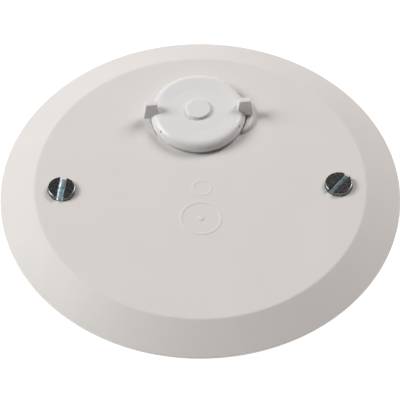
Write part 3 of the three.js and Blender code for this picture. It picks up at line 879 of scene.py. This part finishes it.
def controller_chip():
    """A drafted body with a dot by its first leg, and seven gull-wing legs a side."""
    z = BOARD_TOP_Z

    def half(width, length, bottom, top, taper):
        x0, x1 = CHIP_X - width / 2, CHIP_X + width / 2
        y0, y1 = CHIP_Y - length / 2, CHIP_Y + length / 2
        corners = [(x0, y0, 0.1), (x1, y0, 0.1), (x1, y1, 0.1), (x0, y1, 0.1)]
        return extruded(corners, bottom, top, taper)

    body = joined(half(3.8, 9.2, z + 0.2, z + 1, 1.02), half(3.88, 9.38, z + 1, z + 1.8, 0.95))
    carved(
        body,
        disc(0.45, z + 1.7, z + 3, CHIP_X - 1, CHIP_Y + 3.6, 32),
        disc(1, z + 1.75, z + 3, CHIP_X, CHIP_Y, 32),
    )
    body.data.materials.append(black_plastic)
    path = [(1.85, 1.0), (2.3, 1.0), (2.55, 0.8), (2.65, 0.3), (2.85, 0.13), (3.1, 0.12)]
    legs = []
    for y in CHIP_LEGS_Y:
        for side in (-1, 1):
            points = [(CHIP_X + side * u, y, z + v) for u, v in path]
            legs.append(strip(points, 0.4, 0.16, upright=True))
    install(together(*legs), "chip_legs", "root", solder)
    install(body, "chip_body", "root", black_plastic, ["controller_chip"])


def rectifier():
    """A flat moulded body with a chamfer on its first side and four formed legs."""
    z = BOARD_TOP_Z
    body = block(12.7, 17.6, -17.6, -14.2, z + 0.15, z + 2.6, 0.16)
    notch = moved(block(-1, 1, -3, 3, -0.4, 0.4),
                  Matrix.Translation(Vector((12.7, -15.9, z + 2.75)) * MM)
                  @ Matrix.Rotation(math.radians(-45), 4, "Y"))
    carved(body, notch)
    install(body, "rectifier_body", "root", black_plastic, ["bridge_rectifier"])
    legs = []
    path = [(-0.1, 1.0), (0.25, 1.0), (0.35, 0.3), (0.65, 0.12), (1.1, 0.12)]
    for x in (13.6, 16.7):
        for y, side in ((-17.6, -1), (-14.2, 1)):
            points = [(u, 0, z + v) for u, v in path]
            made = strip(points, 0.7, 0.2, upright=True)
            turn = Matrix.Rotation(side * math.pi / 2, 4, "Z")
            legs.append(moved(made, Matrix.Translation((x * MM, y * MM, 0)) @ turn))
    install(together(*legs), "rectifier_legs", "root", solder)


def capacitor():
    """A shrunk sleeve, necked over the can's groove, with the can's scored vent inside it."""
    x, y, z = CAPACITOR_X, CAPACITOR_Y, BOARD_TOP_Z
    r, top = CAPACITOR_RADIUS, BOARD_TOP_Z + CAPACITOR_HEIGHT
    sleeve = turned([
        (2.2, z, 0.05),
        (r, z, 0.25),
        (r, z + 1.1, 0.2),
        (r - 0.23, z + 1.4, 0.2),
        (r, z + 1.7, 0.2),
        (r, top, 0.4),
        (2.45, top, 0.1),
        (2.45, top - 0.3, 0.1),
        (2.2, top - 0.3),
    ], x, y, 96, closed=True)
    install(sleeve, "capacitor_sleeve", "root", sleeve_plastic,
            ["smoothing_capacitor"])
    can = disc(2.44, top - 1, top - 0.1, x, y, 64, 0.12)
    vents = [
        moved(block(x - 1.8, x + 1.8, y - 0.09, y + 0.09, top - 0.2, top + 1), about(x, y, turn))
        for turn in (0.4, 0.4 + math.pi / 2)
    ]
    install(carved(can, *vents), "capacitor_can", "root", aluminium)
    arc = [math.radians(d) for d in range(160, 216, 4)]
    outline = [(x + (r + 0.02) * math.cos(a), y + (r + 0.02) * math.sin(a)) for a in arc]
    outline += [(x + (r - 0.1) * math.cos(a), y + (r - 0.1) * math.sin(a)) for a in arc[::-1]]
    stripe = extruded(outline, z + 1.9, top - 0.4)
    install(stripe, "capacitor_stripe", "root", sleeve_stripe)


def amplifier_screen():
    """A folded tinned can with nine vent holes over the photodiode's amplifier."""
    z = BOARD_TOP_Z
    can = block(-22.2, -18.2, 5.6, 12, z, z + 3.6, 0.35, 4)
    tools = [block(-21.9, -18.5, 5.9, 11.7, z - 1, z + 3.3)]
    for x in (-21.2, -20.2, -19.2):
        for y in (7.2, 8.8, 10.4):
            tools.append(disc(0.3, z + 3, z + 5, x, y, 20))
    carved(can, *tools)
    install(can, "screening_can", "root", tinned_steel, ["amplifier_screen"])


def small_parts():
    """Chip resistors and capacitors round the controller and amplifier."""
    draw = random.Random(5)
    resistors = ((10.2, -12), (10.2, -14.2), (22.4, -4.6), (-9.5, -11.6), (-12.4, -13.2),
                 (-23.2, 2.2), (-19.5, 14.4))
    for i, (x, y) in enumerate(resistors):
        angle = draw.choice((0, math.pi / 2)) + draw.uniform(-0.03, 0.03)
        surface_part(f"chip_resistor_{i + 1}", x, y, angle, (2, 1.25, 0.5), black_plastic,
                     solder)
    capacitors = ((12.6, -10.4), (-12.2, -9.6), (22, -13.4), (-22.6, -2), (9, -10))
    for i, (x, y) in enumerate(capacitors):
        angle = draw.choice((0, math.pi / 2)) + draw.uniform(-0.03, 0.03)
        surface_part(f"chip_capacitor_{i + 1}", x, y, angle, (1.6, 0.85, 0.8), ceramic,
                     solder)


# ---- terminal block ----
def terminals():
    """The block and, for each pole, a clamping screw over a rising cage round a fixed tab."""
    width = POLES * POLE_PITCH + 1.6
    top = BOARD_TOP_Z + BLOCK_HEIGHT
    floor = BOARD_TOP_Z + 0.8
    pocket_top = floor + CAGE_HEIGHT + CAGE_TRAVEL + 0.2
    ledge = pocket_top + 0.3
    cage_y = BLOCK_FRONT_Y + 3.1
    shell = block(-width / 2, width / 2, BLOCK_FRONT_Y, BLOCK_BACK_Y, BOARD_TOP_Z, top, 0.25)
    tools = []
    for i in range(POLES):
        n = str(i + 1)
        x = (i - (POLES - 1) / 2) * POLE_PITCH
        tools += [
            block(x - 1.95, x + 1.95, BLOCK_FRONT_Y - 1, BLOCK_FRONT_Y + 5.4,
                  floor, pocket_top, 0.1),
            block(x - 1, x + 1, BLOCK_FRONT_Y + 5, BLOCK_BACK_Y + 1, floor + 2.9, floor + 3.9),
            disc(1.3, pocket_top - 0.2, top, x, cage_y, 48),
            disc(2, ledge, top + 1, x, cage_y, 48),
            turned([
                (0, top - 0.35),
                (2, top - 0.35),
                (2.4, top + 0.1),
                (0, top + 0.1),
            ], x, cage_y, 48),
        ]
        if i:
            line = x - POLE_PITCH / 2
            tools.append(block(line - 0.2, line + 0.2, BLOCK_FRONT_Y - 1, BLOCK_BACK_Y + 1,
                               top - 0.3, top + 1))
        cage = carved(
            block(x - 1.7, x + 1.7, cage_y - 2, cage_y + 2, floor + 0.1,
                  floor + 0.1 + CAGE_HEIGHT, 0.3, 3),
            block(x - 1.15, x + 1.15, BLOCK_FRONT_Y, BLOCK_FRONT_Y + 6,
                  floor + 0.9, floor + 3.7, 0.2),
            disc(1.2, floor + 3.6, floor + 6, x, cage_y, 32),
        )
        install(cage, "wire_cage_" + n, "terminal_cage_" + n, tinned_steel,
                ["terminal_cage_" + n])
        tab_z = floor + 3.35
        bar = strip([
            (0, 0, BOARD_TOP_Z - 0.05),
            (0, 0, tab_z - 0.5),
            (-0.12, 0, tab_z - 0.12),
            (-0.5, 0, tab_z),
            (-6.1, 0, tab_z),
        ], 1.6, 0.5, upright=True)
        place = Matrix.Translation(Vector((x, BLOCK_BACK_Y + 0.55, 0)) * MM)
        moved(bar, place @ Matrix.Rotation(math.pi / 2, 4, "Z"))
        install(bar, "contact_tab_" + n, "root", brass, ["terminal_tab_" + n])
        screw = turned([
            (0, ledge + 0.05),
            (1.7, ledge + 0.05, 0.1),
            (1.7, top - 0.4, 0.2),
            (0, top - 0.4),
        ], x, cage_y, 48)
        angle = math.radians(15 + 40 * i)
        slots = [
            moved(block(x - 2, x + 2, cage_y - 0.3, cage_y + 0.3, top - 1.1, top, 0.05),
                  about(x, cage_y, angle)),
            moved(block(x - 1, x + 1, cage_y - 0.25, cage_y + 0.25, top - 1.1, top, 0.05),
                  about(x, cage_y, angle + math.pi / 2)),
        ]
        carved(screw, *slots)
        shank = threaded(1.05, 0.18, 0.5, floor + 3.9, ledge + 0.1, x, cage_y, 28)
        install(together(screw, shank), "clamp_screw_" + n, "terminal_screw_" + n,
                tinned_steel, ["terminal_screw_" + n])
    carved(shell, *tools)
    install(shell, "terminal_housing", "root", terminal_plastic,
            ["terminal_block"])


# ---- optical chamber ----
def chamber():
    """The lid with its port, the screen, the labyrinth and the two optical parts."""
    inner = CHAMBER_RADIUS - 1.2
    ceiling = CHAMBER_TOP_Z - 1.2
    lid = turned([
        (0, ceiling),
        (inner, ceiling, 0.5),
        (inner, BOARD_TOP_Z, 0.05),
        (CHAMBER_RADIUS, BOARD_TOP_Z, 0.15),
        (CHAMBER_RADIUS, CHAMBER_TOP_Z, 0.9),
        (0, CHAMBER_TOP_Z),
    ], 0, CHAMBER_Y, 144)
    tools = [
        disc(5, ceiling - 1, CHAMBER_TOP_Z + 1, 0, PORT_Y, 64),
        disc(5.5, CHAMBER_TOP_Z - 0.55, CHAMBER_TOP_Z + 1, 0, PORT_Y, 64),
        disc(1.1, CHAMBER_TOP_Z - 0.15, CHAMBER_TOP_Z + 1, 0, CHAMBER_Y - 5, 32),
    ]
    for degrees in range(190, 360, 20):
        a = math.radians(degrees)
        x = (CHAMBER_RADIUS + 0.35) * math.cos(a)
        y = CHAMBER_Y + (CHAMBER_RADIUS + 0.35) * math.sin(a)
        groove = block(x - 0.6, x + 0.6, y - 0.5, y + 0.5,
                       BOARD_TOP_Z + 1.5, CHAMBER_TOP_Z - 2, 0.15)
        tools.append(moved(groove, about(x, y, a)))
    carved(lid, *tools)
    install(lid, "chamber_lid", "root", black_plastic, ["chamber_cover"])
    woven_mesh()
    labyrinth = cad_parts["chamber_base"]
    for material_slot in labyrinth.material_slots:
        material_slot.material = black_plastic
    edges = labyrinth.modifiers.new("soft_edges", "BEVEL")
    edges.width = 0.08 * MM
    edges.segments = 2
    for name, degrees, surface, slot in (
        ("ir_emitter", 205, clear_resin, "clear_resin"),
        ("photodiode", -25, dark_resin, "dark_resin"),
    ):
        lens = turned([
            (0, 0),
            (1.5, 0, 1.4),
            (1.5, 4.4, 0.05),
            (1.75, 4.4, 0.05),
            (1.75, 5.2, 0.1),
            (0, 5.2),
        ], segments=64)
        place = Matrix.Translation(Vector((0, CHAMBER_Y, 0)) * MM)
        place @= Matrix.Rotation(math.radians(degrees), 4, "Z")
        place @= Matrix.Translation(Vector((OPTICS_RADIUS - 2.4, 0, OPTICS_Z)) * MM)
        moved(lens, place @ Matrix.Rotation(math.pi / 2, 4, "Y"))
        install(lens, name + "_lens", "root", surface, [name])


def woven_mesh():
    """A disc of woven wire in a rolled rim."""
    z = CHAMBER_TOP_Z - 0.35
    radius, pitch, wire, sides = 5.1, 0.75, 0.11, 6
    wires = []
    count = int(radius / pitch)
    for across in (False, True):
        for i in range(-count, count + 1):
            offset = i * pitch
            reach = math.sqrt(radius ** 2 - offset ** 2)
            steps = max(4, int(reach / pitch * 8))
            bm = bmesh.new()
            rings = []
            for k in range(steps + 1):
                along = -reach + 2 * reach * k / steps
                wave = math.cos(math.pi * (along / pitch + i + across)) * wire * 0.9
                ring = []
                for side in range(sides):
                    a = math.tau * side / sides
                    u, lift = offset + wire * math.cos(a), z + wave + wire * math.sin(a)
                    x, y = (along, u) if across else (u, along)
                    ring.append(bm.verts.new(Vector((x, PORT_Y + y, lift)) * MM))
                rings.append(ring)
            for low, high in zip(rings, rings[1:]):
                ring_of_faces(bm, low, high)
            bm.faces.new(rings[0])
            bm.faces.new(rings[-1])
            wires.append(to_object(bm))
    rim = washer(5.35, 4.8, z - 0.2, z + 0.2, 0, PORT_Y, 64, 0.15)
    install(together(rim, *wires), "woven_screen", "root", tinned_steel,
            ["insect_mesh"])


# ---- stage, lights and camera ----
def area_light(name, azimuth, elevation, size, power, tint=(1, 1, 1)):
    """A round soft box that looks at the cover from LIGHT_DISTANCE away."""
    data = bpy.data.lights.new(name, "AREA")
    data.shape = "DISK"
    data.size = size
    data.energy = power
    data.color = tint
    light = bpy.data.objects.new(name, data)
    a, e = math.radians(azimuth), math.radians(elevation)
    towards = Vector((math.cos(a) * math.cos(e), math.sin(a) * math.cos(e), math.sin(e)))
    light.location = Vector((0, 0, CEILING_Z * MM)) + towards * LIGHT_DISTANCE
    light.rotation_mode = "QUATERNION"
    light.rotation_quaternion = towards.to_track_quat("Z", "Y")
    scene.collection.objects.link(light)


def studio():
    area_light("key_left", 171, 38, 0.6, 9.3, (0.985, 1, 1))
    area_light("back_right", 41, 41, 0.5, 5.9, (1, 0.97, 0.96))
    area_light("front_fill", 262, 4, 0.12, 0.45)
    world = bpy.data.worlds.new("studio")
    world.use_nodes = True
    world.node_tree.nodes["Background"].inputs["Color"].default_value = (1, 1, 1, 1)
    world.node_tree.nodes["Background"].inputs["Strength"].default_value = 0.05
    scene.world = world

    surface = Surface("floor_paper", 0.9)
    surface.colour(surface.noise(400), (0.30, 0.30, 0.30), (0.32, 0.32, 0.32))
    surface.shader.inputs["Emission Color"].default_value = (1, 1, 1, 1)
    surface.shader.inputs["Emission Strength"].default_value = 0.92
    bm = bmesh.new()
    bmesh.ops.create_grid(bm, x_segments=1, y_segments=1, size=12)
    floor = to_object(bm, "floor")
    floor.location.z = -0.0002
    floor.data.materials.append(surface.material)


def camera():
    data = bpy.data.cameras.new("camera")
    data.lens = CAMERA_LENS
    data.sensor_width = 36
    data.clip_start = 0.1
    data.clip_end = 50
    obj = bpy.data.objects.new("camera", data)
    flat = math.cos(CAMERA_ELEVATION)
    towards = Vector((
        -math.sin(CAMERA_TURN) * flat,
        -math.cos(CAMERA_TURN) * flat,
        math.sin(CAMERA_ELEVATION),
    ))
    turn = towards.to_track_quat("Z", "Y")
    obj.rotation_mode = "QUATERNION"
    obj.rotation_quaternion = turn
    across, up = CAMERA_AIM
    aim = Vector((0, 0, CEILING_Z * MM)) + turn @ Vector((across * MM, up * MM, 0))
    obj.location = aim + towards * CAMERA_DISTANCE
    scene.collection.objects.link(obj)
    scene.camera = obj


camera()
studio()
front_cover()
port_cap()
# each screw's slot carries its own painted reflection, bright on the left and dim on the right
cover_screw("left", -SCREW_X, 80, slot_painted_bright_reflection)
cover_screw("right", SCREW_X, 51, slot_painted_dim_reflection)
screw_holders("left", -SCREW_X)
screw_holders("right", SCREW_X)
rear_housing()
seals()
bare_board()
for screw_name, (screw_x, screw_y) in BOARD_SCREWS.items():
    pan_screw(screw_name, screw_x, screw_y)
controller_chip()
rectifier()
capacitor()
amplifier_screen()
small_parts()
terminals()
chamber()
scene.view_settings.view_transform = "Standard"
